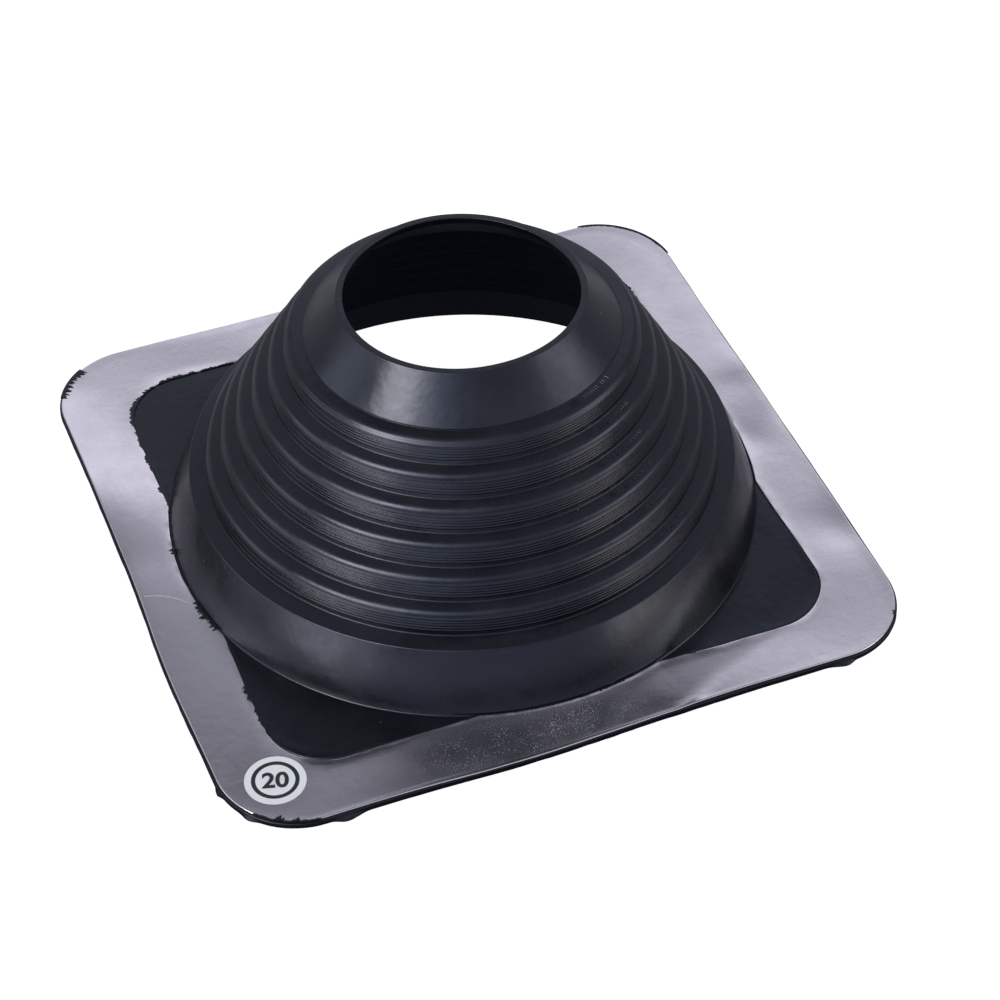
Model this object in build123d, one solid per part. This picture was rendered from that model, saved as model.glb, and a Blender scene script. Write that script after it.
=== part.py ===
from build123d import *
from math import atan2, cos, tan
import os

# Pipe flashing boot, in millimetres, Z up. Z = 0 is the roof side of the flange and the
# origin is on the axis of the pipe. A stepped rubber cone is moulded in one piece with a
# square flange, and a soft aluminium band is bonded into a rebate round the flange rim.

# Square flange
base_corner_radius = 37.0
rubber_under_band = 2.8
field_height = 3.5

# Aluminium band: its width along the sides, and its narrowest width beside the skirt
band_width = 27.8
band_neck_width = 21.3
band_thickness = 1.0
band_rim = 0.8
window_corner_radius = 27.0
band_clearance = 0.15
skirt_to_band = 0.5

# Neck: pipe opening, lip and smooth collar
bore_radius = 49.6
bore_length = 3.0
lip_width = 3.0
collar_height = 17.5
collar_flare = 15.2
collar_edge = 0.6

# Stepped cone: each riser is one pipe size, each tread joins it to the next
step_count = 6
riser_height = 10.75
riser_flare = 1.3
tread_width = 6.3
tread_drop = 1.8
first_tread_width = 7.4
first_tread_drop = 0.6
last_tread_width = 7.5
last_tread_drop = 1.6
shoulder_bevel = 1.3
wall = 3.0

# Skirt between the last tread and the flange
skirt_height = 28.5
skirt_flare = 11.0
skirt_foot_wall = 3.0

# Sealing grooves moulded into the underside, outermost first
groove_count = 3
groove_inset = 6.0
groove_pitch = 6.0
groove_width = 2.5
groove_depth = 0.8

# Round label on one corner of the band
label_diameter = 26.0
label_thickness = 0.2
label_inset_x = 23.3
label_inset_y = 27.4

# Heights and radii that follow from the sizes above
steps_height = step_count * riser_height + (step_count - 1) * tread_drop
skirt_top_z = field_height + skirt_height
first_shoulder_z = skirt_top_z + last_tread_drop + steps_height
collar_bottom_z = first_shoulder_z + first_tread_drop + collar_edge
lip_z = collar_bottom_z + collar_height
lip_radius = bore_radius + lip_width
collar_radius = lip_radius + collar_flare
first_shoulder_radius = collar_radius + first_tread_width
step_pitch = riser_flare + tread_width
last_foot_radius = first_shoulder_radius + step_count * riser_flare + (step_count - 1) * tread_width
skirt_top_radius = last_foot_radius + last_tread_width
skirt_radius = skirt_top_radius + skirt_flare
base_hole_radius = skirt_radius - skirt_foot_wall
band_seat_radius = skirt_radius + skirt_to_band
base_side = 2 * (band_seat_radius + band_neck_width + band_rim)
window_side = base_side - 2 * (band_rim + band_width)


def shoulder_points():
    # Outer edge of each riser's top, from the first step down
    fall = riser_height + tread_drop
    return [(first_shoulder_radius + k * step_pitch, first_shoulder_z - k * fall)
            for k in range(step_count)]


def foot_points():
    # Bottom of each riser, where the next tread starts
    return [(r + riser_flare, z - riser_height) for r, z in shoulder_points()]


def outer_profile():
    # Half section of the outside, from the axis at the lip down to the roof
    steps = [point for pair in zip(shoulder_points(), foot_points()) for point in pair]
    collar_foot = (collar_radius, collar_bottom_z - collar_edge)
    points = [(0, lip_z), (lip_radius, lip_z), (collar_radius, collar_bottom_z), collar_foot]
    points += steps + [(skirt_top_radius, skirt_top_z), (skirt_radius, field_height)]
    points += [(skirt_radius, 0), (0, 0)]
    return points


def inner_profile():
    # Half section of the hollow: every step is followed at one wall thickness
    slope = atan2(collar_flare, collar_height)
    collar_inside = collar_radius - wall * (1 / cos(slope) - tan(slope))
    steps = [(r - wall, z - wall)
             for pair in zip(shoulder_points(), foot_points()) for r, z in pair]
    points = [(0, lip_z + wall), (bore_radius, lip_z + wall), (bore_radius, lip_z - bore_length)]
    points += [(collar_inside, collar_bottom_z - collar_edge - wall)] + steps
    points += [(skirt_top_radius - wall, skirt_top_z - wall), (base_hole_radius, 0)]
    points += [(base_hole_radius, -wall), (0, -wall)]
    return points


def bevel_corners(face, corners, size):
    # Take the sharpness off the vertices of a flat section that lie on the given corners
    spots = [Vector(r, 0, z) for r, z in corners]
    picked = [v for v in face.vertices() if any((v.center() - spot).length < 1e-3 for spot in spots)]
    return face.chamfer_2d(size, size, picked)


def half_section(points):
    # A closed face in the XZ plane through the given radius and height pairs
    return make_face(Polyline([Vector(r, 0, z) for r, z in points], close=True)).face()


def cone_outside():
    corners = shoulder_points() + [(skirt_top_radius, skirt_top_z)]
    return revolve(bevel_corners(half_section(outer_profile()), corners, shoulder_bevel), Axis.Z)


def cone_inside():
    return revolve(half_section(inner_profile()), Axis.Z)


def rounded_plate(side, corner_radius, bottom, top):
    # A square plate with rounded corners, centred on the axis
    return Pos(0, 0, bottom) * extrude(RectangleRounded(side, side, corner_radius), top - bottom)


def window(grow, bottom, top):
    # The shape inside the band: a rounded square joined to the circle of the cone's skirt
    square = rounded_plate(window_side + 2 * grow, window_corner_radius + grow, bottom, top)
    circle = Pos(0, 0, bottom) * extrude(Circle(band_seat_radius + grow), top - bottom)
    return square + circle


def sealing_groove(number):
    # One square ring cut up into the underside
    side = base_side - 2 * (groove_inset + number * groove_pitch)
    radius = base_corner_radius - groove_inset - number * groove_pitch
    ring = rounded_plate(side, radius, -groove_depth, groove_depth)
    return ring - rounded_plate(side - 2 * groove_width, radius - groove_width, -groove_depth, groove_depth)


def rubber_boot():
    rim = rounded_plate(base_side, base_corner_radius, 0, rubber_under_band)
    field = window(-band_clearance, 0, field_height)
    boot = rim + field + cone_outside() - cone_inside()
    for number in range(groove_count):
        boot -= sealing_groove(number)
    return boot


def aluminium_band():
    top = rubber_under_band + band_thickness
    side = base_side - 2 * band_rim
    plate = rounded_plate(side, base_corner_radius - band_rim, rubber_under_band, top)
    return plate - window(0, rubber_under_band, top)


def round_label():
    x = label_inset_x - base_side / 2
    y = label_inset_y - base_side / 2
    seat = rubber_under_band + band_thickness
    return Pos(x, y, seat) * extrude(Circle(label_diameter / 2), label_thickness)


os.makedirs("parts", exist_ok=True)
export_step(rubber_boot(), "parts/rubber_boot.step")
export_step(aluminium_band(), "parts/aluminium_band.step")
export_step(round_label(), "parts/round_label.step")
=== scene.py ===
import bpy
import numpy as np
from mathutils import Matrix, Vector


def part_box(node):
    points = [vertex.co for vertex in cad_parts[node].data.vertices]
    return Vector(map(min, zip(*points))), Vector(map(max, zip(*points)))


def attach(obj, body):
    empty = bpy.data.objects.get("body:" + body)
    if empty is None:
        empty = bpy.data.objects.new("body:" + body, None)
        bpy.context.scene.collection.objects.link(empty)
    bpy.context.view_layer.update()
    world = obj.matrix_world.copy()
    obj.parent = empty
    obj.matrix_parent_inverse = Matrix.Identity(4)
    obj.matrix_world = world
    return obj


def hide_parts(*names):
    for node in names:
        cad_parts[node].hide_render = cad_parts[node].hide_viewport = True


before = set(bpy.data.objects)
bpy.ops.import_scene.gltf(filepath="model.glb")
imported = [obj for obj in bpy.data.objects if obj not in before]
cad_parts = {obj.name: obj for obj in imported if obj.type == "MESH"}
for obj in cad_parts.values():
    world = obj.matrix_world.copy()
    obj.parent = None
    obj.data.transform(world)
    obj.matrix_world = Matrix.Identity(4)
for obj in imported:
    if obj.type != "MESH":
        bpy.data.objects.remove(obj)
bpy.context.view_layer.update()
print("frame loaded")

mm = 0.001  # every size below is in millimetres, every mesh in metres
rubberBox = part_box("rubber_boot")
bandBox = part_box("aluminium_band")
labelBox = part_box("round_label")
baseHalf = float(rubberBox[1][0]) / mm
lipTop = float(rubberBox[1][2]) / mm
bandHalf = float(bandBox[1][0]) / mm
bandBottom = float(bandBox[0][2]) / mm
bandTop = float(bandBox[1][2]) / mm


# Helpers for numbers and meshes

def smoothStep(t):
    # 3t^2 - 2t^3 with t held between 0 and 1
    t = np.clip(t, 0.0, 1.0)
    return t * t * (3.0 - 2.0 * t)


def smoothNoise(seed, count, knots, closed=True):
    # random values at evenly spaced knots, joined by smooth steps, from -1 to 1
    values = np.random.default_rng(seed).uniform(-1.0, 1.0, knots)
    place = np.arange(count) / count * knots
    low = np.floor(place).astype(int)
    nextOne = (low + 1) % knots if closed else np.minimum(low + 1, knots - 1)
    return values[low] + (values[nextOne] - values[low]) * smoothStep(place - low)


def makePiece(name, points, faces, material, nodes=(), smooth=True):
    # points in millimetres become a mesh piece that rides on the part's one body
    mesh = bpy.data.meshes.new(name)
    mesh.from_pydata((np.asarray(points) * mm).tolist(), [], list(map(tuple, faces)))
    mesh.polygons.foreach_set("use_smooth", np.full(len(mesh.polygons), smooth))
    mesh.materials.append(material)
    mesh.update()
    piece = bpy.data.objects.new(name, mesh)
    bpy.context.scene.collection.objects.link(piece)
    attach(piece, "root")
    if nodes:
        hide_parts(*nodes)
    return piece


def ringFaces(rows, columns):
    # quads of a grid that closes on itself both ways, as on a ring with a closed section
    i, j = np.meshgrid(np.arange(rows), np.arange(columns), indexing="ij")
    a = i * columns + j
    b = i * columns + (j + 1) % columns
    c = ((i + 1) % rows) * columns + (j + 1) % columns
    d = ((i + 1) % rows) * columns + j
    return np.stack([a, d, c, b], axis=-1).reshape(-1, 4)


def roundedSection(corners, support=0.25):
    # corners are (radius, height, rounding, arc steps): each corner becomes an arc between its
    # tangent points, with one more point just outside each end, so that flats stay flat
    points = []
    count = len(corners)
    for k, (r, z, rounding, steps) in enumerate(corners):
        here = np.array([r, z])
        if rounding == 0:
            points.append(here)
            continue
        before = np.array(corners[k - 1][:2]) - here
        after = np.array(corners[(k + 1) % count][:2]) - here
        reachBefore, reachAfter = np.linalg.norm(before), np.linalg.norm(after)
        before, after = before / reachBefore, after / reachAfter
        half = np.arccos(np.clip(before @ after, -1, 1)) / 2
        cut = min(rounding / np.tan(half), 0.45 * reachBefore, 0.45 * reachAfter)
        centre = here + (before + after) / np.linalg.norm(before + after) * cut / np.cos(half)
        start, end = here + before * cut - centre, here + after * cut - centre
        t = np.linspace(0, 1, steps + 1)[:, None]
        sweep = np.pi - 2 * half
        arc = (np.sin((1 - t) * sweep) * start + np.sin(t * sweep) * end) / np.sin(sweep)
        points.append(here + before * min(cut + support, 0.48 * reachBefore))
        points.extend(centre + arc)
        points.append(here + after * min(cut + support, 0.48 * reachAfter))
    return np.array(points)


# Stepped cone of the boot

cone = {
    "columns": 240,
    "boreRadius": 49.6, "boreLength": 3.0, "lipWidth": 3.0, "lipRounding": 0.35,
    "collarFlare": 15.2, "collarHeight": 17.5, "collarEdge": 0.6,
    "firstTreadWidth": 7.4, "firstTreadDrop": 0.6,
    "steps": 6, "riserHeight": 10.75, "riserFlare": 1.3, "treadWidth": 6.3, "treadDrop": 1.8,
    "lastTreadWidth": 7.5, "lastTreadDrop": 1.6,
    "skirtHeight": 28.5, "skirtFlare": 11.0, "fieldHeight": 3.5, "footWall": 3.0, "wall": 3.0,
    "shoulderRounding": 3.9, "footRounding": 0.55,
    "ridges": 5, "ridgePitch": 1.4, "ridgeStart": 1.9, "tallRidge": 0.22, "lowRidge": 0.15, "skirtBelly": 0.5,
    "lean": (1.0, -0.4), "bulge": (-21.0, 75.0, 1.9),
}


def coneStepPoints():
    # shoulder k = first shoulder + k * (riser flare + tread width, -(riser height + tread drop))
    # foot k = shoulder k + (riser flare, -riser height)
    k = np.arange(cone["steps"])[:, None]
    lipRadius = cone["boreRadius"] + cone["lipWidth"]
    collarRadius = lipRadius + cone["collarFlare"]
    collarBottom = lipTop - cone["collarHeight"]
    first = np.array([collarRadius + cone["firstTreadWidth"],
                      collarBottom - cone["collarEdge"] - cone["firstTreadDrop"]])
    pitch = np.array([cone["riserFlare"] + cone["treadWidth"], -cone["riserHeight"] - cone["treadDrop"]])
    shoulders = first + k * pitch
    feet = shoulders + np.array([cone["riserFlare"], -cone["riserHeight"]])
    return lipRadius, collarRadius, collarBottom, shoulders, feet


def toolingRidges(shoulder, foot):
    # fine turned lines on the upper riser: height * ((1 - cos(2 pi s / pitch)) / 2)^2 along the
    # slope, tall and low ones by turns, in rows a sixth of a pitch apart
    along = foot - shoulder
    along = along / np.linalg.norm(along)
    outward = np.array([-along[1], along[0]])
    k = np.arange(6 * cone["ridges"] + 1)
    reach = cone["ridgeStart"] + k * cone["ridgePitch"] / 6
    height = np.where((k // 6) % 2 == 0, cone["tallRidge"], cone["lowRidge"])
    push = height * ((1 - np.cos(np.pi * k / 3)) / 2) ** 2
    return shoulder + reach[:, None] * along + push[:, None] * outward


def coneSection():
    # closed half section, from the bore's top edge down the outside and back up the inside
    lipRadius, collarRadius, collarBottom, shoulders, feet = coneStepPoints()
    fine, wide, wall = cone["footRounding"], cone["shoulderRounding"], cone["wall"]
    lipRound = cone["lipRounding"]
    skirtTop = feet[-1] + np.array([cone["lastTreadWidth"], -cone["lastTreadDrop"]])
    skirtFoot = skirtTop + np.array([cone["skirtFlare"], -cone["skirtHeight"]])
    outside = [(cone["boreRadius"], lipTop, lipRound, 3), (lipRadius, lipTop, lipRound, 4),
               (collarRadius, collarBottom, 0.3, 3), (collarRadius, collarBottom - cone["collarEdge"], 0.2, 2)]
    for shoulder, foot in zip(shoulders, feet):
        outside += [(*shoulder, wide, 7), (*foot, fine, 3)]
    outside += [(*skirtTop, 0.9, 5)]
    # the skirt is pushed out by belly * sin(pi t), and its foot flares into the field
    down = skirtFoot - skirtTop
    outward = np.array([-down[1], down[0]]) / np.linalg.norm(down)
    outside += [(*(skirtTop + t * down + outward * cone["skirtBelly"] * np.sin(np.pi * t)), 0, 0)
                for t in (0.12, 0.25, 0.38, 0.5, 0.62, 0.75, 0.88)]
    outside += [(skirtFoot[0] - 0.2, skirtFoot[1] + 0.55, 0, 0), (skirtFoot[0] + 0.02, skirtFoot[1] + 0.2, 0, 0),
                (skirtFoot[0] + 0.3, skirtFoot[1] + 0.06, 0, 0)]
    deeper = skirtFoot + (skirtFoot - skirtTop) * 0.03
    holeRadius = skirtFoot[0] - cone["footWall"]
    inside = [(deeper[0], deeper[1], 0, 0), (holeRadius + 1.6, 0.02, 0, 0), (holeRadius, 0.02, 0.3, 2),
              (skirtTop[0] - wall, skirtTop[1] - wall, 0.6, 2)]
    for shoulder, foot in zip(shoulders[::-1], feet[::-1]):
        inside += [(foot[0] - wall, foot[1] - wall, 0.5, 1), (shoulder[0] - wall, shoulder[1] - wall, 0.5, 1)]
    slope = np.arctan2(cone["collarFlare"], cone["collarHeight"])
    collarInside = collarRadius - wall * (1 / np.cos(slope) - np.tan(slope))
    inside += [(collarInside, collarBottom - cone["collarEdge"] - wall, 0.5, 2),
               (cone["boreRadius"], lipTop - cone["boreLength"], 0.4, 2)]
    section = roundedSection(outside + inside)
    outerEnd = int(np.argmin(section[:, 1]))
    for shoulder, foot in zip(shoulders, feet):
        ridges = toolingRidges(shoulder, foot)
        above = np.where(section[:outerEnd, 1] > ridges[0, 1] + 0.05)[0].max()
        section = np.insert(section, above + 1, ridges, axis=0)
        outerEnd += len(ridges)
    return section


def coneSurface():
    # (r cos a, r sin a, z) for each point of the section and each angle; soft rubber doesn't
    # stand true, so toward the lip the ring wobbles, leans and bulges on one side
    section = coneSection()
    angle = np.arange(cone["columns"]) / cone["columns"] * 2 * np.pi
    r = section[:, 0][:, None] * np.ones_like(angle)
    z = section[:, 1][:, None] * np.ones_like(angle)
    height = smoothStep((section[:, 1][:, None] - 20) / 100)
    place, width, reach = cone["bulge"]
    r = r + height * (0.35 * np.cos(2 * angle + 0.4) + 0.2 * np.cos(3 * angle + 2.0))
    r = r + height * reach * bumpAt(place, width, angle)
    x = r * np.cos(angle) + cone["lean"][0] * height
    y = r * np.sin(angle) + cone["lean"][1] * height
    return np.stack([x, y, z], axis=-1).reshape(-1, 3), len(section)


# Flange outline, shared by the rubber, the band and the torn film

flange = {
    "columns": 720,
    "cornerRadius": 37.0, "windowHalf": 127.0, "windowCorner": 27.0, "seatRadius": 133.5,
    "rimInset": 0.8, "fieldHeight": 3.5, "gap": 0.15, "holeRadius": 131.4,
    "grooves": 3, "grooveInset": 6.0, "groovePitch": 6.0, "grooveWidth": 2.5, "grooveDepth": 0.8,
    "lifts": [(54.0, 40.0, 1.6), (156.0, 21.0, 1.9), (170.0, 46.0, 1.7), (296.0, 24.0, 1.0), (238.0, 16.0, 0.5),
              (12.0, 16.0, 0.8)],
    "sways": [(54.0, 24.0, 0.0, 1.7), (108.0, 19.0, 0.0, -1.2), (200.0, 24.0, -1.9, 0.0), (261.0, 20.0, 0.0, -1.3),
              (350.0, 40.0, 0.7, 0.0)],
    "windowCut": [(303.0, 20.0, 2.0), (322.0, 14.0, 1.2), (162.0, 30.0, -0.9), (138.0, 16.0, -1.4)],
}

angles = np.arange(flange["columns"]) / flange["columns"] * 2 * np.pi


def roundedSquare(half, corner, angle=angles):
    # distance from the axis to a square's side, half / max(|cos|, |sin|), and in a corner to
    # its arc, c S + sqrt(R^2 - c^2 D^2) with c = half - R, S and D the sum and difference of
    # |cos| and |sin|
    u, v = np.abs(np.cos(angle)), np.abs(np.sin(angle))
    side = half / np.maximum(u, v)
    c = half - corner
    arc = c * (u + v) + np.sqrt(np.maximum(corner ** 2 - c ** 2 * (u - v) ** 2, 0))
    inCorner = side * np.minimum(u, v) > c
    return np.where(inCorner, arc, side)


def windowOutline(grow=0.0, angle=angles):
    # the larger of a rounded square, a little off true as it was cut, and the circle round the
    # skirt
    square = roundedSquare(flange["windowHalf"] + grow, flange["windowCorner"] + grow, angle)
    for place, width, offset in flange["windowCut"]:
        square = square + offset * bumpAt(place, width, angle)
    return np.maximum(square, flange["seatRadius"] + grow)


def bendFlange(points):
    # the flange isn't dead flat or square: in humps round the outline, each height * smooth
    # step of 1 - |angle| / width, it lifts, and its edge sways in or out; both grow from
    # nothing at the skirt
    x, y = points[..., 0], points[..., 1]
    angle = np.arctan2(y, x)
    share = np.hypot(x, y) / roundedSquare(baseHalf, flange["cornerRadius"], angle)
    away = smoothStep((np.hypot(x, y) - 134) / 22)
    rise = smoothStep((share - 0.74) / 0.3)
    moved = points.copy()
    for place, width, height in flange["lifts"]:
        moved[..., 2] += rise * height * bumpAt(place, width, angle)
    for place, width, alongX, alongY in flange["sways"]:
        moved[..., 0] += away * alongX * bumpAt(place, width, angle)
        moved[..., 1] += away * alongY * bumpAt(place, width, angle)
    return moved


def polarRows(rows):
    # each row is (distance from the axis, height), numbers or one value for each angle
    ones = np.ones_like(angles)
    r = np.stack([ones * row[0] for row in rows])
    z = np.stack([ones * row[1] for row in rows])
    return np.stack([r * np.cos(angles), r * np.sin(angles), z], axis=-1)


def bumpAt(degrees, width, angle=angles):
    # a smooth hump of height 1, width in degrees, at a place round the flange
    gap = np.abs((np.degrees(angle) - degrees + 180) % 360 - 180)
    return smoothStep(1 - gap / width)


rimTears = [(218.4, 1.0, 1.6), (223.6, 1.6, 1.2), (235.0, 2.2, 3.0), (306.6, 1.8, 2.6), (21.0, 1.5, 1.1)]


def flangeSurface():
    # a closed ring: hole edge, field, rebate, rim and underside with its sealing grooves
    outer = roundedSquare(baseHalf, flange["cornerRadius"])
    wander = 0.12 * smoothNoise(3, len(angles), 90) + 0.08 * smoothNoise(4, len(angles), 240)
    tears = sum(height * bumpAt(place, width) for place, width, height in rimTears)
    edge = windowOutline(-flange["gap"])
    field = flange["fieldHeight"]
    sag = 0.12 * smoothNoise(9, len(angles), 14)
    top = bandBottom - 0.02
    rows = [(flange["holeRadius"], 0), (flange["holeRadius"], field - 0.4), (flange["holeRadius"] + 1.2, field)]
    inner = flange["holeRadius"] + 1.2
    for t in (0.12, 0.3, 0.5, 0.7, 0.85):
        rows.append((inner + (edge - 1.8 - inner) * t, field + sag * np.sin(np.pi * t)))
    bead = 0.3 * bumpAt(230, 17) + 0.12 * bumpAt(318, 14)
    rows += [(edge - 1.7, field), (edge - 1.15, field + 0.75 * bead), (edge - 0.75, field + bead)]
    rows += [(edge - 0.45, field + 0.6 * bead), (edge - 0.2, field - 0.02), (edge - 0.04, field - 0.14),
             (edge, field - 0.32)]
    rows += [(edge, top)]
    outerTop = outer + wander * 0.5
    rows += [(edge + (outerTop - edge) * t, top) for t in (0.3, 0.7)]
    rows += [(outerTop - 0.6, top), (outerTop - 0.25, top - 0.03), (outerTop - 0.05, top - 0.2)]
    rows += [(outerTop, top - 0.5), (outer + wander + 0.3 * tears, 1.3), (outer + wander + tears, 0.7)]
    rows += [(outer + wander + 0.9 * tears, 0.3), (outer + wander - 0.15 + 0.6 * tears, 0.05),
             (outer + wander - 0.5, 0.0)]
    for k in range(flange["grooves"]):
        inset = flange["grooveInset"] + k * flange["groovePitch"]
        width, depth = flange["grooveWidth"], flange["grooveDepth"]
        start = roundedSquare(baseHalf - inset, flange["cornerRadius"] - inset)
        end = roundedSquare(baseHalf - inset - width, flange["cornerRadius"] - inset - width)
        rows += [(start + 0.2, 0), (start, 0), (start - 0.05, depth - 0.2), (start - 0.25, depth)]
        rows += [(end + 0.25, depth), (end + 0.05, depth - 0.2), (end, 0), (end - 0.2, 0)]
    return bendFlange(polarRows(rows)).reshape(-1, 3), len(rows)


# Aluminium band

band = {
    "waves": 0.2, "edgeRounding": 0.26, "innerRounding": 0.4, "burr": 0.08, "turnedUp": 0.2,
    "lean": 1.45, "leanStart": 226.0, "leanFade": 28.0, "leanEnd": 307.0, "leanSlant": 19.0, "leanBreak": 5.0,
    "dents": [(137.0, -15.0, 9.0, 11.0, -0.30), (148.0, -82.0, 15.0, 15.0, -0.55), (147.0, 22.0, 12.0, 10.0, -0.22),
              (60.0, 148.0, 16.0, 8.0, 0.2), (-40.0, 146.0, 14.0, 9.0, -0.15), (-146.0, 100.0, 9.0, 14.0, 0.15)],
    "across": (0.1, 0.2, 0.3, 0.4, 0.5, 0.6, 0.7, 0.8, 0.9),
}


def frontLean(angle, t):
    # the band's front side leans outward: lean * (0.4 - t) at share t of its width, between a
    # slow start and a slanting break
    degrees = np.degrees(angle) % 360
    inside = smoothStep((degrees - band["leanStart"]) / band["leanFade"])
    inside = inside * smoothStep((band["leanEnd"] - band["leanSlant"] * t - degrees) / band["leanBreak"])
    return band["lean"] * inside * (0.4 - t)


def bandSurface():
    # a closed ring between the window and the outer outline: its top has slow waves along and
    # across, z = w (n1(a) t + n2(a) (1 - t)), and both edges are turned up by a sheared burr
    outer = roundedSquare(bandHalf, flange["cornerRadius"] - flange["rimInset"])
    outer = outer + 0.10 * smoothNoise(21, len(angles), 60)
    inner = windowOutline() + 0.10 * smoothNoise(22, len(angles), 80)
    soft = band["edgeRounding"]
    waveOut = band["waves"] * smoothNoise(23, len(angles), 16)
    waveIn = band["waves"] * smoothNoise(24, len(angles), 20)
    burr = band["burr"] * smoothNoise(25, len(angles), 200)
    turnedUp = band["turnedUp"] * bumpAt(262, 48)

    def topAt(t):
        wave = (waveOut * t + waveIn * (1 - t)) * smoothStep(t / 0.15) * smoothStep((1.06 - t) / 0.2)
        return bandTop - 0.02 + wave + frontLean(angles, t)

    width = outer - inner
    round = band["innerRounding"]
    rows = [(inner, bandBottom), (inner, topAt(0) - round)]
    rows += [(inner + round * (1 - np.cos(t)), topAt(0) - round * (1 - np.sin(t)) + burr * np.sin(t))
             for t in np.radians((25, 50, 75))]
    raised = topAt(0) + burr * 0.8 + turnedUp
    rows[-1] = (rows[-1][0], rows[-1][1] + turnedUp * 0.9)
    rows += [(inner + round, raised), (inner + round + 0.5, topAt(0))]
    rows += [(inner + width * t, topAt(t)) for t in band["across"]]
    rows += [(outer - soft - 0.5, topAt(1)), (outer - soft, topAt(1) + turnedUp * 0.6), (outer - 0.3 * soft, topAt(1) - 0.3 * soft), (outer, topAt(1) - soft)]
    rows += [(outer, bandBottom)]
    rows += [(inner + width * 0.5, bandBottom)]
    points = bendFlange(polarRows(rows))
    for x, y, reachX, reachY, depth in band["dents"]:
        # a dent is depth * exp(-(dx / reach)^2 - (dy / reach)^2)
        away = ((points[..., 0] - x) / reachX) ** 2 + ((points[..., 1] - y) / reachY) ** 2
        points[..., 2] += depth * np.exp(-away)
    return points.reshape(-1, 3), len(rows)


# Torn moulding film that crept over the band's edges

film = {
    "thickness": 0.22, "stepDegrees": 0.16,
    "inner": [(118.5, 124.0, 2.2, 30), (124.5, 130.5, 2.8, 31), (131.0, 142.0, 2.8, 32), (142.2, 146.5, 2.2, 33),
              (147.5, 151.5, 2.2, 34), (155.2, 157.4, 2.6, 35), (158.0, 163.0, 0.8, 36), (172.6, 174.6, 3.0, 37),
              (187.4, 196.5, 4.4, 38), (209.8, 213.4, 3.4, 39), (214.2, 219.4, 2.4, 40), (247.0, 272.5, 1.0, 41),
              (274.6, 277.2, 1.3, 42), (278.6, 282.4, 1.7, 43), (292.4, 294.4, 1.8, 44), (33.0, 42.5, 2.2, 45),
              (29.0, 31.0, 1.2, 46), (60.0, 72.0, 1.2, 47), (98.0, 110.0, 1.0, 48)],
    "outer": [(132.8, 136.0, 5.0, 51), (136.0, 139.0, 4.6, 52), (226.6, 227.9, 3.8, 53), (228.6, 229.9, 3.6, 54),
              (224.0, 232.0, 1.0, 55), (38.0, 52.0, 0.9, 56), (316.4, 317.2, 1.6, 57)],
}


def filmRibbon(start, end, width, seed, outward):
    # a flat strip along an edge from angle a0 to a1; its free side is ragged:
    # w(a) = width * (0.45 slow noise + 0.55 noise per point)^1.3 * fade at both ends, and it is
    # a closed thin shell
    count = max(int((end - start) / film["stepDegrees"]), 12)
    t = np.linspace(0, 1, count)
    a = np.radians(start + (end - start) * t)
    rng = np.random.default_rng(seed)
    coarse = np.interp(t, np.linspace(0, 1, max(count // 6, 3)), rng.uniform(0, 1, max(count // 6, 3)))
    ragged = 0.45 * coarse + 0.55 * rng.uniform(0, 1, count)
    fade = smoothStep(t / 0.06) * smoothStep((1 - t) / 0.06)
    reach = np.maximum(width * (ragged ** 1.3) * fade, 0.03)
    if outward:
        edge = windowOutline(-0.3, a)
        far = edge + 0.3 + reach
    else:
        edge = roundedSquare(baseHalf - 0.1, flange["cornerRadius"], a)
        far = edge - flange["rimInset"] - reach
    base = bandTop + frontLean(a, 0.0 if outward else 1.0)
    low, high = base - 0.12, base + film["thickness"] * (0.5 + 0.5 * fade)
    corners = [(edge, low), (edge, high), (0.5 * (edge + far), high), (far, high - 0.08), (far, low)]
    if not outward:
        corners = corners[::-1]
    points = np.stack([np.stack([r * np.cos(a), r * np.sin(a), z * np.ones_like(a)], axis=-1) for r, z in corners])
    return bendFlange(points)


def ribbonFaces(rows, columns, offset):
    # quads round a strip's section and along it, and one polygon at each end
    i, j = np.meshgrid(np.arange(rows), np.arange(columns - 1), indexing="ij")
    a = i * columns + j
    b = i * columns + j + 1
    c = ((i + 1) % rows) * columns + j + 1
    d = ((i + 1) % rows) * columns + j
    quads = (np.stack([a, d, c, b], axis=-1).reshape(-1, 4) + offset).tolist()
    first = [int(k * columns + offset) for k in range(rows)]
    last = [int(k * columns + columns - 1 + offset) for k in range(rows)][::-1]
    return quads + [first, last]


def makeFilm(material):
    points, faces, offset = [], [], 0
    strips = [(*row, True) for row in film["inner"]] + [(*row, False) for row in film["outer"]]
    for start, end, width, seed, outward in strips:
        grid = filmRibbon(start, end, width, seed, outward)
        faces += ribbonFaces(grid.shape[0], grid.shape[1], offset)
        points.append(grid.reshape(-1, 3))
        offset += points[-1].shape[0]
    mesh = bpy.data.meshes.new("mouldFilm")
    mesh.from_pydata((np.concatenate(points) * mm).tolist(), [], faces)
    mesh.materials.append(material)
    mesh.update()
    piece = bpy.data.objects.new("mouldFilm", mesh)
    bpy.context.scene.collection.objects.link(piece)
    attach(piece, "root")
    return piece


# Materials

def hexColour(text):
    # sRGB hex to linear: c / 12.92 below 0.04045, else ((c + 0.055) / 1.055)^2.4
    c = np.array([int(text[k:k + 2], 16) for k in (0, 2, 4)]) / 255.0
    linear = np.where(c <= 0.04045, c / 12.92, ((c + 0.055) / 1.055) ** 2.4)
    return (*linear.tolist(), 1.0)


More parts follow.
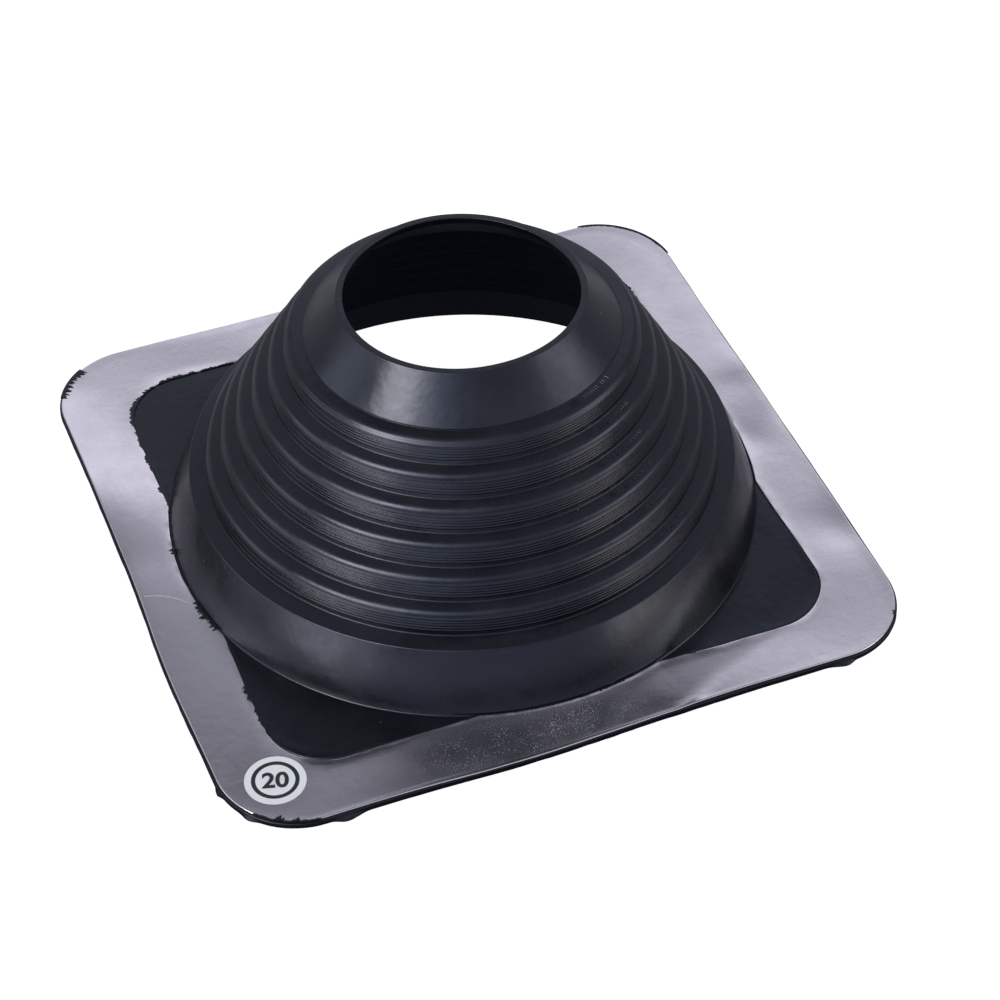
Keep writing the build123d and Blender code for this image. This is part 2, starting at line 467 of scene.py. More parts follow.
def addNode(tree, kind, links=None, **settings):
    # settings go on the node; links go on its inputs, where a socket is linked and any other
    # value is set, and of several inputs with one name the enabled one is meant
    node = tree.nodes.new(kind)
    for key, value in settings.items():
        setattr(node, key, value)
    for key, value in (links or {}).items():
        named = [socket for socket in node.inputs if socket.enabled and socket.name == key]
        socket = named[0] if named else node.inputs[key]
        if isinstance(value, bpy.types.NodeSocket):
            tree.links.new(value, socket)
        else:
            socket.default_value = value
    return node


def startMaterial(name):
    material = bpy.data.materials.new(name)
    material.use_nodes = True
    tree = material.node_tree
    shader = tree.nodes["Principled BSDF"]
    coordinates = addNode(tree, "ShaderNodeTexCoord").outputs["Object"]
    return material, tree, shader, coordinates


rubber = {
    "dark": "0b0c0f", "light": "15161a", "tint": (0.61, 0.72, 1.0), "specular": 0.5,
    "cloudMm": 26.0, "roughness": (0.18, 0.38),
    "grainMm": 0.7, "grainHeightMm": 0.013, "pebbleMm": 4.5, "pebbleHeightMm": 0.07,
    "speckMm": 9.0, "speckShare": 0.12, "speckSize": 0.03, "speck": "9a9ca6",
}


def mouldedRubber():
    # compression moulded EPDM: near black with a soft semi-gloss skin, cloudy where the mould
    # release lay, a fine grain and a few specks of pale dust
    material, tree, shader, place = startMaterial("mouldedEpdmRubber")
    cloud = addNode(tree, "ShaderNodeTexNoise", {"Vector": place, "Scale": 1 / (rubber["cloudMm"] * mm),
                                                 "Detail": 7.0, "Roughness": 0.62})
    colour = addNode(tree, "ShaderNodeMix", {"Factor": cloud.outputs["Fac"], "A": hexColour(rubber["dark"]),
                                             "B": hexColour(rubber["light"])}, data_type="RGBA")
    rough = addNode(tree, "ShaderNodeMapRange", {"Value": cloud.outputs["Fac"], "From Min": 0.32, "From Max": 0.68,
                                                 "To Min": rubber["roughness"][0],
                                                 "To Max": rubber["roughness"][1]})
    pebble = addNode(tree, "ShaderNodeTexNoise", {"Vector": place, "Scale": 1 / (rubber["pebbleMm"] * mm),
                                                  "Detail": 1.0})
    coarse = addNode(tree, "ShaderNodeBump", {"Height": pebble.outputs["Fac"],
                                              "Distance": rubber["pebbleHeightMm"] * mm})
    grain = addNode(tree, "ShaderNodeTexNoise", {"Vector": place, "Scale": 1 / (rubber["grainMm"] * mm),
                                                 "Detail": 2.0})
    fine = addNode(tree, "ShaderNodeBump", {"Height": grain.outputs["Fac"], "Normal": coarse.outputs["Normal"],
                                            "Distance": rubber["grainHeightMm"] * mm})
    dust = addNode(tree, "ShaderNodeTexVoronoi", {"Vector": place, "Scale": 1 / (rubber["speckMm"] * mm)})
    near = addNode(tree, "ShaderNodeMath", {0: dust.outputs["Distance"], 1: rubber["speckSize"]},
                   operation="LESS_THAN")
    cell = addNode(tree, "ShaderNodeSeparateColor", {"Color": dust.outputs["Color"]})
    few = addNode(tree, "ShaderNodeMath", {0: cell.outputs["Red"], 1: rubber["speckShare"]}, operation="LESS_THAN")
    speck = addNode(tree, "ShaderNodeMath", {0: near.outputs[0], 1: few.outputs[0]}, operation="MULTIPLY")
    dusted = addNode(tree, "ShaderNodeMix", {"Factor": speck.outputs[0], "A": colour.outputs["Result"],
                                             "B": hexColour(rubber["speck"])}, data_type="RGBA")
    tree.links.new(dusted.outputs["Result"], shader.inputs["Base Color"])
    tree.links.new(rough.outputs["Result"], shader.inputs["Roughness"])
    tree.links.new(fine.outputs["Normal"], shader.inputs["Normal"])
    shader.inputs["Specular IOR Level"].default_value = rubber["specular"]
    shader.inputs["Specular Tint"].default_value = (*rubber["tint"], 1.0)
    return material


aluminium = {
    "bright": "e8e6ee", "dull": "d6d4de", "roughness": (0.16, 0.22), "markMm": 24.0,
    "glintMm": 0.7, "glint": "b9b7c2", "glintShare": 0.5,
    "peelMm": 1.3, "peelHeightMm": 0.006, "creaseMm": 9.0, "creaseHeightMm": 0.03,
    "streakMm": 0.5, "streakLengthMm": 18.0, "streakHeightMm": 0.002,
    "scuffCentre": (-24.0, -143.0), "scuffReach": (78.0, 22.0), "scuffMm": 0.6, "scuffRoughness": 0.5,
    "scuffMatte": 0.85, "scuffPatches": 0.22, "scuffFrom": 0.70,
    "scratchCentre": (-158.2, -35.2), "scratchRadius": 28.4, "scratchWidth": 0.22,
    "scratchFrom": -153.0, "scratchTo": -135.5,
}


def rolledAluminium():
    # soft rolled aluminium sheet: satin with a faint orange peel, shallow creases, short rolling
    # streaks along X, and a scuffed patch of fine bright specks on the side where it was handled
    material, tree, shader, place = startMaterial("rolledSoftAluminium")
    marks = addNode(tree, "ShaderNodeTexNoise", {"Vector": place, "Scale": 1 / (aluminium["markMm"] * mm),
                                                 "Detail": 8.0, "Roughness": 0.65})
    colour = addNode(tree, "ShaderNodeMix", {"Factor": marks.outputs["Fac"], "A": hexColour(aluminium["bright"]),
                                             "B": hexColour(aluminium["dull"])}, data_type="RGBA")
    glint = addNode(tree, "ShaderNodeTexNoise", {"Vector": place, "Scale": 1 / (aluminium["glintMm"] * mm),
                                                 "Detail": 3.0, "Roughness": 0.7})
    pits = addNode(tree, "ShaderNodeMapRange", {"Value": glint.outputs["Fac"], "From Min": 0.52, "From Max": 0.75,
                                                "To Max": aluminium["glintShare"]})
    colour = addNode(tree, "ShaderNodeMix", {"Factor": pits.outputs["Result"], "A": colour.outputs["Result"],
                                             "B": hexColour(aluminium["glint"])}, data_type="RGBA")
    satin = addNode(tree, "ShaderNodeMapRange", {"Value": marks.outputs["Fac"], "From Min": 0.35, "From Max": 0.65,
                                                 "To Min": aluminium["roughness"][0],
                                                 "To Max": aluminium["roughness"][1]})
    patch = addNode(tree, "ShaderNodeMapping", {
        "Vector": place, "Location": [-c / r for c, r in zip(aluminium["scuffCentre"], aluminium["scuffReach"])] + [0],
        "Scale": [1 / (r * mm) for r in aluminium["scuffReach"]] + [0]})
    reach = addNode(tree, "ShaderNodeVectorMath", {0: patch.outputs["Vector"]}, operation="LENGTH")
    inPatch = addNode(tree, "ShaderNodeMapRange", {"Value": reach.outputs["Value"], "From Min": 1.0,
                                                   "From Max": 0.1}, interpolation_type="SMOOTHSTEP")
    scuffs = addNode(tree, "ShaderNodeTexNoise", {"Vector": place, "Scale": 1 / (aluminium["scuffMm"] * mm),
                                                  "Detail": 3.0, "Roughness": 0.75})
    islands = addNode(tree, "ShaderNodeTexNoise", {"Vector": place, "Scale": 1 / (7.0 * mm), "Detail": 2.0})
    level = addNode(tree, "ShaderNodeMath", {0: islands.outputs["Fac"], 1: aluminium["scuffPatches"],
                                             2: scuffs.outputs["Fac"]}, operation="MULTIPLY_ADD")
    bright = addNode(tree, "ShaderNodeMapRange", {"Value": level.outputs[0], "From Min": aluminium["scuffFrom"],
                                                  "From Max": aluminium["scuffFrom"] + 0.12})
    scuffed = addNode(tree, "ShaderNodeMath", {0: bright.outputs["Result"], 1: inPatch.outputs["Result"]},
                      operation="MULTIPLY")
    split = addNode(tree, "ShaderNodeSeparateXYZ", {"Vector": place})
    ring = addNode(tree, "ShaderNodeVectorMath", {
        0: addNode(tree, "ShaderNodeCombineXYZ", {"X": split.outputs["X"], "Y": split.outputs["Y"]}).outputs[0],
        1: [c * mm for c in aluminium["scratchCentre"]] + [0]}, operation="DISTANCE")
    offRing = addNode(tree, "ShaderNodeMath", {0: ring.outputs["Value"], 1: aluminium["scratchRadius"] * mm,
                                               2: aluminium["scratchWidth"] * mm}, operation="COMPARE")
    afterStart = addNode(tree, "ShaderNodeMath", {0: split.outputs["X"], 1: aluminium["scratchFrom"] * mm},
                         operation="GREATER_THAN")
    beforeEnd = addNode(tree, "ShaderNodeMath", {0: split.outputs["X"], 1: aluminium["scratchTo"] * mm},
                        operation="LESS_THAN")
    inReach = addNode(tree, "ShaderNodeMath", {0: afterStart.outputs[0], 1: beforeEnd.outputs[0]},
                      operation="MULTIPLY")
    above = addNode(tree, "ShaderNodeMath", {0: split.outputs["Y"], 1: aluminium["scratchCentre"][1] * mm},
                    operation="GREATER_THAN")
    onArc = addNode(tree, "ShaderNodeMath", {0: inReach.outputs[0], 1: above.outputs[0]}, operation="MULTIPLY")
    scratch = addNode(tree, "ShaderNodeMath", {0: offRing.outputs[0], 1: onArc.outputs[0]}, operation="MULTIPLY")
    marked = addNode(tree, "ShaderNodeMath", {0: scuffed.outputs[0], 1: scratch.outputs[0]}, operation="MAXIMUM")
    rough = addNode(tree, "ShaderNodeMix", {"Factor": marked.outputs[0], "A": satin.outputs["Result"],
                                            "B": aluminium["scuffRoughness"]})
    metal = addNode(tree, "ShaderNodeMapRange", {"Value": marked.outputs[0], "To Min": 1.0,
                                                 "To Max": aluminium["scuffMatte"]})
    crease = addNode(tree, "ShaderNodeTexNoise", {"Vector": place, "Scale": 1 / (aluminium["creaseMm"] * mm),
                                                  "Detail": 1.5, "Distortion": 0.8})
    creased = addNode(tree, "ShaderNodeBump", {"Height": crease.outputs["Fac"],
                                               "Distance": aluminium["creaseHeightMm"] * mm})
    peel = addNode(tree, "ShaderNodeTexNoise", {"Vector": place, "Scale": 1 / (aluminium["peelMm"] * mm),
                                                "Detail": 2.0})
    peeled = addNode(tree, "ShaderNodeBump", {"Height": peel.outputs["Fac"], "Normal": creased.outputs["Normal"],
                                              "Distance": aluminium["peelHeightMm"] * mm})
    stretch = addNode(tree, "ShaderNodeMapping", {
        "Vector": place, "Scale": (1 / (aluminium["streakLengthMm"] * mm), 1 / (aluminium["streakMm"] * mm), 0)})
    streak = addNode(tree, "ShaderNodeTexNoise", {"Vector": stretch.outputs["Vector"], "Scale": 1.0, "Detail": 2.0})
    streaked = addNode(tree, "ShaderNodeBump", {"Height": streak.outputs["Fac"], "Normal": peeled.outputs["Normal"],
                                                "Distance": aluminium["streakHeightMm"] * mm})
    tree.links.new(colour.outputs["Result"], shader.inputs["Base Color"])
    tree.links.new(rough.outputs["Result"], shader.inputs["Roughness"])
    tree.links.new(metal.outputs["Result"], shader.inputs["Metallic"])
    tree.links.new(streaked.outputs["Normal"], shader.inputs["Normal"])
    return material


def printedVinyl():
    # white vinyl sticker with a soft sheen and a faint mottle under the laminate
    material, tree, shader, place = startMaterial("whiteVinylSticker")
    mottle = addNode(tree, "ShaderNodeTexNoise", {"Vector": place, "Scale": 1 / (3.0 * mm), "Detail": 3.0})
    colour = addNode(tree, "ShaderNodeMix", {"Factor": mottle.outputs["Fac"], "A": hexColour("e3e8f3"),
                                             "B": hexColour("ebeff7")}, data_type="RGBA")
    tree.links.new(colour.outputs["Result"], shader.inputs["Base Color"])
    shader.inputs["Roughness"].default_value = 0.4
    return material


def screenInk():
    # dark grey screen-printed ink, a little duller than the vinyl, with a fine speckle
    material, tree, shader, place = startMaterial("charcoalScreenInk")
    speckle = addNode(tree, "ShaderNodeTexNoise", {"Vector": place, "Scale": 1 / (0.8 * mm), "Detail": 2.0})
    colour = addNode(tree, "ShaderNodeMix", {"Factor": speckle.outputs["Fac"], "A": hexColour("17181b"),
                                             "B": hexColour("24252a")}, data_type="RGBA")
    tree.links.new(colour.outputs["Result"], shader.inputs["Base Color"])
    shader.inputs["Roughness"].default_value = 0.5
    return material


def paleFloor():
    # matte pale paper sweep with a barely visible mottle
    material, tree, shader, place = startMaterial("palePaperSweep")
    mottle = addNode(tree, "ShaderNodeTexNoise", {"Vector": place, "Scale": 6.0, "Detail": 2.0})
    colour = addNode(tree, "ShaderNodeMix", {"Factor": mottle.outputs["Fac"], "A": hexColour("f6f6f8"),
                                             "B": hexColour("fafafb")}, data_type="RGBA")
    tree.links.new(colour.outputs["Result"], shader.inputs["Base Color"])
    shader.inputs["Roughness"].default_value = 0.9
    shader.inputs["Emission Color"].default_value = (1.0, 1.0, 1.0, 1.0)
    shader.inputs["Emission Strength"].default_value = studio["floorGlow"]
    return material


rubberSkin = mouldedRubber()
sheetMetal = rolledAluminium()
stickerFace = printedVinyl()
ink = screenInk()
print("materials made")

conePoints, coneRows = coneSurface()
makePiece("steppedCone", conePoints, ringFaces(coneRows, cone["columns"]), rubberSkin, ["rubber_boot"])
print("stepped cone made,", coneRows, "rows")

flangePoints, flangeRows = flangeSurface()
makePiece("rubberFlange", flangePoints, ringFaces(flangeRows, flange["columns"]), rubberSkin,
          ["rubber_boot"])
bandPoints, bandRows = bandSurface()
makePiece("bandSheet", bandPoints, ringFaces(bandRows, flange["columns"]), sheetMetal,
          ["aluminium_band"])
makeFilm(rubberSkin)
print("flange, band and film made")

# Sticker

# (made first because the marks on the treads use the same lettering)

sticker = {
    "centre": (-132.3, -128.2), "radius": 13.0, "thickness": 0.16, "turn": -17.0,
    "ringOuter": 10.1, "ringInner": 8.3, "print": "20", "printHeight": 8.6, "printBold": 0.35, "inkThickness": 0.05,
}


def stickerDisc():
    # rings of (radius, height) round the sticker's centre, closed at a middle point above and below
    top = bandTop + sticker["thickness"]
    r = sticker["radius"]
    section = np.array([(0.01, top), (r * 0.5, top), (r - 0.4, top), (r - 0.12, top - 0.02), (r, top - 0.1),
                        (r, bandTop - 0.2), (0.01, bandTop - 0.2)])
    turn = np.linspace(0, 2 * np.pi, 96, endpoint=False)
    x = sticker["centre"][0] + section[:, :1] * np.cos(turn)
    y = sticker["centre"][1] + section[:, :1] * np.sin(turn)
    z = section[:, 1:] * np.ones_like(turn)
    return bendFlange(np.stack([x, y, z], axis=-1)).reshape(-1, 3), len(section)


def inkRing():
    # an annulus of ink between two radii, a closed square section
    low, high = bandTop + sticker["thickness"] - 0.03, bandTop + sticker["thickness"] + sticker["inkThickness"]
    outer, inner = sticker["ringOuter"], sticker["ringInner"]
    section = np.array([(inner, low), (inner, high), (outer, high), (outer, low)])
    turn = np.linspace(0, 2 * np.pi, 96, endpoint=False)
    x = sticker["centre"][0] + section[:, :1] * np.cos(turn)
    y = sticker["centre"][1] + section[:, :1] * np.sin(turn)
    z = section[:, 1:] * np.ones_like(turn)
    return bendFlange(np.stack([x, y, z], axis=-1)).reshape(-1, 3), len(section)


def textMesh(words, height, depth, bold):
    # flat text as points and faces, its middle at the origin, its tall figures as high as asked
    curve = bpy.data.curves.new("lettering", "FONT")
    curve.body = words
    curve.size = 1.0
    curve.extrude = 0.5
    curve.offset = bold / height * 0.7
    holder = bpy.data.objects.new("lettering", curve)
    bpy.context.scene.collection.objects.link(holder)
    bpy.context.view_layer.update()
    mesh = bpy.data.meshes.new_from_object(holder.evaluated_get(bpy.context.evaluated_depsgraph_get()))
    points = np.empty(len(mesh.vertices) * 3)
    mesh.vertices.foreach_get("co", points)
    points = points.reshape(-1, 3)
    faces = [tuple(face.vertices) for face in mesh.polygons]
    bpy.data.objects.remove(holder)
    bpy.data.meshes.remove(mesh)
    low, high = points.min(axis=0), points.max(axis=0)
    points = (points - (low + high) / 2) * (height / (high[1] - low[1]))
    points[:, 2] = np.sign(points[:, 2]) * depth / 2
    return points, faces


def inkNumber():
    points, faces = textMesh(sticker["print"], sticker["printHeight"], 0.08, sticker["printBold"])
    turn = np.radians(sticker["turn"])
    x = sticker["centre"][0] + points[:, 0] * np.cos(turn) - points[:, 1] * np.sin(turn)
    y = sticker["centre"][1] + points[:, 0] * np.sin(turn) + points[:, 1] * np.cos(turn)
    z = bandTop + sticker["thickness"] + sticker["inkThickness"] - 0.04 + points[:, 2]
    return bendFlange(np.stack([x, y, z], axis=-1)), faces


# Trim marks moulded on the treads

marks = {
    "numbers": ("150", "165", "180", "196", "211", "226"), "numberHeight": 2.7, "relief": 0.32, "bold": 0.12,
    "numberAt": -68.0, "strokesFrom": -63.5, "strokesTo": -50.0, "strokePitchMm": 1.5,
    "strokeLength": 2.9, "strokeWidth": 0.7, "fromFoot": 0.75,
    "fieldStrokes": 10, "fieldRadius": 146.0, "fieldAt": -48.9, "fieldLength": 3.4,
}


def onTread(step, along, inward):
    # a point on the tread above riser number step: along is the angle, inward runs from the
    # riser behind it outward, and the height falls with the tread's slope
    lipRadius, collarRadius, collarBottom, shoulders, feet = coneStepPoints()
    start = feet[step - 1] if step else np.array([collarRadius, collarBottom - cone["collarEdge"]])
    slope = (shoulders[step][1] - start[1]) / (shoulders[step][0] - start[0])
    height = smoothStep((start[1] - 20) / 100)
    place, width, reach = cone["bulge"]
    r = start[0] + inward
    moved = r + height * (0.35 * np.cos(2 * along + 0.4) + 0.2 * np.cos(3 * along + 2.0)
                          + reach * bumpAt(place, width, along))
    return moved * np.cos(along) + cone["lean"][0] * height, moved * np.sin(along) + cone["lean"][1] * height, \
        start[1] + slope * inward


def strokeBox(x, y, z, along, length, width, relief):
    # eight corners of a low ridge that points away from the axis
    out = np.array([np.cos(along), np.sin(along), 0.0])
    side = np.array([-np.sin(along), np.cos(along), 0.0])
    middle = np.array([x, y, z])
    corners = [middle + out * a * length / 2 + side * b * width / 2 * (0.2 if c else 1.0) + np.array([0, 0, c * relief])
               for c in (0, 1) for a, b in ((-1, -1), (1, -1), (1, 1), (-1, 1))]
    return np.array(corners)


strokeSides = [(0, 3, 2, 1), (4, 5, 6, 7), (0, 1, 5, 4), (1, 2, 6, 5), (2, 3, 7, 6), (3, 0, 4, 7)]


def treadMarks():
    # on each tread the diameter of its riser and a row of short strokes, and one row on the field
    points, faces, offset = [], [], 0

    def add(corners, sides):
        nonlocal offset
        points.append(corners)
        faces.extend([tuple(int(k) + offset for k in side) for side in sides])
        offset += len(corners)

    sink = 0.06
    for step, number in enumerate(marks["numbers"]):
        radius = coneStepPoints()[3][step][0]
        turns = np.radians(np.arange(marks["strokesFrom"], marks["strokesTo"],
                                     np.degrees(marks["strokePitchMm"] / radius)))
        rng = np.random.default_rng(70 + step)
        for along in turns[rng.uniform(0, 1, len(turns)) > 0.18]:
            length = marks["strokeLength"] * rng.uniform(0.7, 1.0)
            x, y, z = onTread(step, along, marks["fromFoot"] + marks["strokeLength"] / 2)
            corners = strokeBox(x, y, z - sink, along, length, marks["strokeWidth"], marks["relief"] + sink)
            add(corners, strokeSides)
        shape, sides = textMesh(number, marks["numberHeight"], marks["relief"], marks["bold"])
        along = np.radians(marks["numberAt"]) + shape[:, 0] / radius
        inward = marks["fromFoot"] + marks["numberHeight"] / 2 - shape[:, 1]
        x, y, z = onTread(step, along, inward)
        add(np.stack([x, y, z + marks["relief"] / 2 - sink + shape[:, 2]], axis=-1), sides)
    for k in range(marks["fieldStrokes"]):
        along = np.radians(marks["fieldAt"]) + (k - marks["fieldStrokes"] / 2) * 1.5 / marks["fieldRadius"]
        x, y = marks["fieldRadius"] * np.cos(along), marks["fieldRadius"] * np.sin(along)
        add(strokeBox(x, y, flange["fieldHeight"] - 0.1, along, marks["fieldLength"], 0.5, 0.09),
            strokeSides)
    return np.concatenate(points), faces


markPoints, markFaces = treadMarks()
makePiece("treadMarks", markPoints, markFaces, rubberSkin, smooth=False)
print("trim marks made")

discPoints, discRows = stickerDisc()
makePiece("vinylSticker", discPoints, ringFaces(discRows, 96), stickerFace, ["round_label"])
ringPoints, ringRows = inkRing()
makePiece("stickerRing", ringPoints, ringFaces(ringRows, 96), ink, smooth=False)
numberPoints, numberFaces = inkNumber()
makePiece("stickerNumber", numberPoints, numberFaces, ink, smooth=False)
print("sticker made")


# Floor, light and camera

studio = {
    "floorHalf": 4.0, "floorDrop": 0.0002, "floorGlow": 0.97, "shadeRadius": 0.34,
    "shadeFull": 0.16, "shadeGone": 0.33, "paintedBounceGlow": 0.05,
    "tint": (0.985, 0.965, 1.06), "deepTint": (0.78, 0.93, 1.28), "deepLevel": 0.4, "heading": 69.35,
    "far": [(-60, 0.03), (-30, 0.08), (-12, 0.16), (6, 0.5), (20, 0.6), (34, 0.82), (40, 1.03), (42, 0.66),
            (44, 0.36), (46.5, 0.27), (48.5, 0.34), (50.1, 0.4), (51.2, 0.02), (59, 0.02), (68, 0.1), (90, 0.25)],
    "side": [(-60, 0.06), (-42, 0.18), (-30, 0.33), (-12, 0.42), (4, 0.42), (20, 0.4), (36, 0.4), (50, 0.55),
             (65, 0.45), (80, 0.3), (90, 0.25)],
    "near": [(-60, 0.06), (-38, 0.75), (-20, 1.05), (-7, 1.1), (5, 0.7), (17, 0.44), (29, 0.5), (41, 0.58),
             (54, 0.8), (66, 0.65), (78, 0.4), (90, 0.25)],
    "nearToSide": (-0.97, -0.35), "sideToFar": (0.9, 0.98), "farTilt": 0.15,
    "glows": {
        "leftKey": {"azimuth": -161.0, "elevation": 43.0, "reach": 20.0, "level": 14.5, "colour": (1.0, 0.87, 0.68)},
        "keyHalo": {"azimuth": -147.0, "elevation": 46.0, "reach": 33.0, "level": 1.4, "colour": (1.0, 1.0, 1.1)},
        "leftCard": {"azimuth": 165.0, "elevation": 9.0, "reach": 26.0, "level": 1.6, "colour": (1.0, 1.0, 1.0)},
        "leftLow": {"azimuth": -160.0, "elevation": -9.0, "reach": 23.0, "level": 4.4, "colour": (1.0, 0.92, 0.82)},
        "frontLow": {"azimuth": -130.0, "elevation": -24.0, "reach": 24.0, "level": 1.6, "colour": (1.0, 0.98, 1.0)},
        "rightCard": {"azimuth": -29.0, "elevation": 27.0, "reach": 21.0, "level": 3.2, "colour": (1.0, 0.92, 0.78)},
        "rightHalo": {"azimuth": -50.0, "elevation": 38.0, "reach": 22.0, "level": 0.4, "colour": (1.0, 0.95, 0.92)},
        "rightLow": {"azimuth": -46.0, "elevation": -8.0, "reach": 19.0, "level": 3.0, "colour": (1.0, 0.85, 0.66)},
    },
    "topFill": {"azimuth": 0.0, "elevation": 90.0, "distance": 1.2, "size": (1.2, 1.2), "power": 15.0,
                "colour": (1.0, 1.0, 1.0)},
}


def makeFloor():
    half, z = studio["floorHalf"], -studio["floorDrop"]
    mesh = bpy.data.meshes.new("floor")
    mesh.from_pydata([(-half, -half, z), (half, -half, z), (half, half, z), (-half, half, z)], [], [(0, 1, 2, 3)])
    mesh.materials.append(paleFloor())
    floor = bpy.data.objects.new("floor", mesh)
    bpy.context.scene.collection.objects.link(floor)
    floor.visible_diffuse = False
    floor.visible_glossy = False
    floor.visible_shadow = False


def makeShade():
    # the shadow that the object casts on the floor, out of the camera's sight, as painted shadow: a card that is black
    # under the object and fades out round it, with a faint painted glow for the light the floor bounces into the
    # hollow, a fan of 64 corners round a middle point
    turn = np.linspace(0, 2 * np.pi, 64, endpoint=False)
    rim = np.stack([np.cos(turn), np.sin(turn)], axis=-1) * studio["shadeRadius"]
    points = [(0, 0, -studio["floorDrop"] / 2)] + [(x, y, -studio["floorDrop"] / 2) for x, y in rim.tolist()]
    mesh = bpy.data.meshes.new("shadeCard")
    mesh.from_pydata(points, [], [(0, k + 1, (k + 1) % 64 + 1) for k in range(64)])
    # painted shadow on a card: black where the object's shade falls on the floor, fading out round it
    material, tree, shader, place = startMaterial("paintedFloorShadow")
    distance = addNode(tree, "ShaderNodeVectorMath", {0: place}, operation="LENGTH")
    cover = addNode(tree, "ShaderNodeMapRange", {"Value": distance.outputs["Value"], "From Min": studio["shadeGone"],
                                                 "From Max": studio["shadeFull"]}, interpolation_type="SMOOTHSTEP")
    tree.links.new(cover.outputs["Result"], shader.inputs["Alpha"])
    shader.inputs["Base Color"].default_value = hexColour("080808")
    # painted bounce light: the card glows faintly though it is no lamp, to light the hollow from below
    shader.inputs["Emission Color"].default_value = (0.8, 0.9, 1.2, 1.0)
    shader.inputs["Emission Strength"].default_value = studio["paintedBounceGlow"]
    shader.inputs["Roughness"].default_value = 0.9
    mesh.materials.append(material)
    card = bpy.data.objects.new("shadeCard", mesh)
    bpy.context.scene.collection.objects.link(card)
    card.visible_camera = False


def skyRamp(tree, height, stops):
    # brightness by the sine of the height above the horizon; dark stops are bluer
    place = addNode(tree, "ShaderNodeMath", {0: height, 1: 0.5, 2: 0.5}, operation="MULTIPLY_ADD")
    ramp = addNode(tree, "ShaderNodeValToRGB", {"Fac": place.outputs[0]})
    while len(ramp.color_ramp.elements) < len(stops):
        ramp.color_ramp.elements.new(0.5)
    for element, (degrees, level) in zip(ramp.color_ramp.elements, stops):
        element.position = (np.sin(np.radians(degrees)) + 1) / 2
        pale = min(level / studio["deepLevel"], 1.0)
        element.color = (*[level * (deep + (tint - deep) * pale)
                           for deep, tint in zip(studio["deepTint"], studio["tint"])], 1.0)
    return ramp.outputs["Color"]


def makeSky():
    # a studio that is pale behind the object up to 45 degrees, darker beside and in front of it
    # and dark at 50 to 60 degrees: three ramps of height, mixed by the bearing, and on them soft
    # round glows, level * smooth step of the cosine of the angle from the glow's middle
    world = bpy.data.worlds.new("studioSky")
    bpy.context.scene.world = world
    world.use_nodes = True
    world.cycles_visibility.diffuse = False  # matte colour is lit by the soft light overhead alone
    tree = world.node_tree
    direction = addNode(tree, "ShaderNodeTexCoord").outputs["Generated"]
    split = addNode(tree, "ShaderNodeSeparateXYZ", {"Vector": direction})
    level = addNode(tree, "ShaderNodeCombineXYZ", {"X": split.outputs["X"], "Y": split.outputs["Y"]})
    bearing = addNode(tree, "ShaderNodeVectorMath", {0: level.outputs[0]}, operation="NORMALIZE")
    heading = np.radians(studio["heading"])
    toward = addNode(tree, "ShaderNodeVectorMath", {0: bearing.outputs[0],
                                                    1: (np.cos(heading), np.sin(heading), 0.0)},
                     operation="DOT_PRODUCT")
    across = addNode(tree, "ShaderNodeVectorMath", {0: direction, 1: (np.sin(heading), -np.cos(heading), 0.0)},
                     operation="DOT_PRODUCT")
    tilted = addNode(tree, "ShaderNodeMath", {0: across.outputs["Value"], 1: -studio["farTilt"],
                                              2: split.outputs["Z"]}, operation="MULTIPLY_ADD")
    sky = skyRamp(tree, split.outputs["Z"], studio["near"])
    for border, stops, height in ((studio["nearToSide"], studio["side"], split.outputs["Z"]),
                                  (studio["sideToFar"], studio["far"], tilted.outputs[0])):
        weight = addNode(tree, "ShaderNodeMapRange", {"Value": toward.outputs["Value"], "From Min": border[0],
                                                      "From Max": border[1]}, interpolation_type="SMOOTHSTEP")
        ramp = skyRamp(tree, height, stops)
        sky = addNode(tree, "ShaderNodeMix", {"Factor": weight.outputs["Result"], "A": sky, "B": ramp},
                      data_type="RGBA").outputs["Result"]
    for glow in studio["glows"].values():
        a, e = np.radians(glow["azimuth"]), np.radians(glow["elevation"])
        near = addNode(tree, "ShaderNodeVectorMath", {
            0: direction, 1: (np.cos(a) * np.cos(e), np.sin(a) * np.cos(e), np.sin(e))}, operation="DOT_PRODUCT")
        level = addNode(tree, "ShaderNodeMapRange", {
            "Value": near.outputs["Value"], "From Min": np.cos(np.radians(glow["reach"])), "From Max": 1.0,
            "To Max": glow["level"]}, interpolation_type="SMOOTHSTEP")
        light = addNode(tree, "ShaderNodeVectorMath", {0: glow["colour"], "Scale": level.outputs["Result"]},
                        operation="SCALE")
        sky = addNode(tree, "ShaderNodeVectorMath", {0: sky, 1: light.outputs["Vector"]},
                      operation="ADD").outputs["Vector"]
    tree.links.new(sky, tree.nodes["Background"].inputs["Color"])


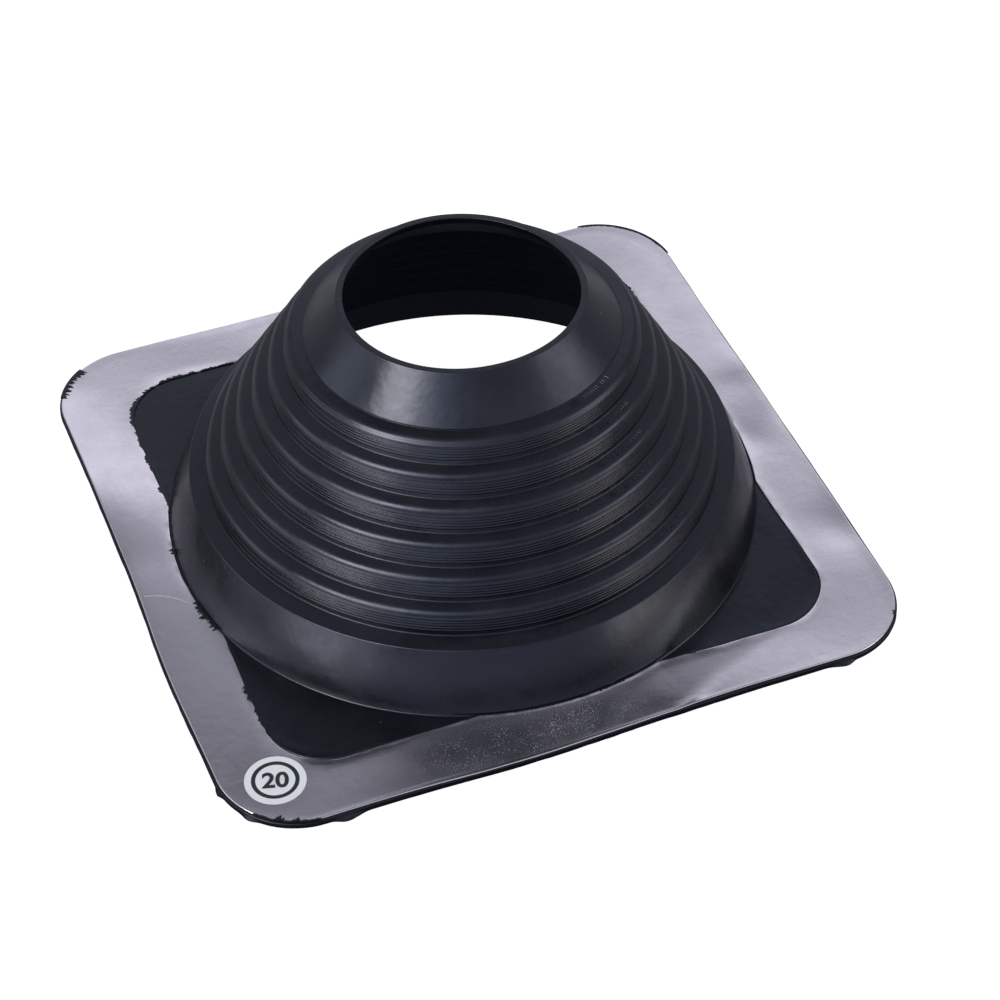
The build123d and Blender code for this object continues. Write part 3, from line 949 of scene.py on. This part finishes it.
def makeTopFill():
    # a large soft light straight above that lights matte colour alone and leaves no reflection
    setting = studio["topFill"]
    a, e = np.radians(setting["azimuth"]), np.radians(setting["elevation"])
    back = np.array([np.cos(a) * np.cos(e), np.sin(a) * np.cos(e), np.sin(e)])
    right = np.array([-np.sin(a), np.cos(a), 0.0])
    up = np.cross(back, right)
    data = bpy.data.lights.new("topFill", "AREA")
    data.shape = "RECTANGLE"
    data.size, data.size_y = setting["size"]
    data.energy = setting["power"]
    data.color = setting["colour"]
    lamp = bpy.data.objects.new("topFill", data)
    bpy.context.scene.collection.objects.link(lamp)
    place = back * setting["distance"]
    lamp.matrix_world = Matrix([[right[k], up[k], back[k], place[k]] for k in range(3)] + [[0, 0, 0, 1]])
    lamp.visible_camera = False
    lamp.visible_glossy = False


camera = {
    "azimuth": -20.647, "elevation": 44.430, "roll": -1.0975, "distance": 1.3482,
    "focalPixels": 2957.4, "imageWidth": 1000.0, "moveRight": 0.01676, "moveUp": 0.00085,
}


def makeCamera():
    # looks at the axis from a bearing and height; the lens is focal pixels / width * 36 mm
    a, e, roll = (np.radians(camera[k]) for k in ("azimuth", "elevation", "roll"))
    back = np.array([np.sin(a) * np.cos(e), -np.cos(a) * np.cos(e), np.sin(e)])
    right = np.array([np.cos(a), np.sin(a), 0.0])
    up = np.cross(back, right)
    right, up = np.cos(roll) * right + np.sin(roll) * up, np.cos(roll) * up - np.sin(roll) * right
    place = back * camera["distance"] + right * camera["moveRight"] + up * camera["moveUp"]
    data = bpy.data.cameras.new("camera")
    data.sensor_width = 36.0
    data.lens = camera["focalPixels"] / camera["imageWidth"] * data.sensor_width
    eye = bpy.data.objects.new("camera", data)
    bpy.context.scene.collection.objects.link(eye)
    eye.matrix_world = Matrix([[right[k], up[k], back[k], place[k]] for k in range(3)] + [[0, 0, 0, 1]])
    bpy.context.scene.camera = eye


makeFloor()
makeSky()
makeShade()
makeTopFill()
makeCamera()
bpy.context.scene.view_settings.view_transform = "Standard"
print("stage, light and camera made")

bpy.context.view_layer.update()
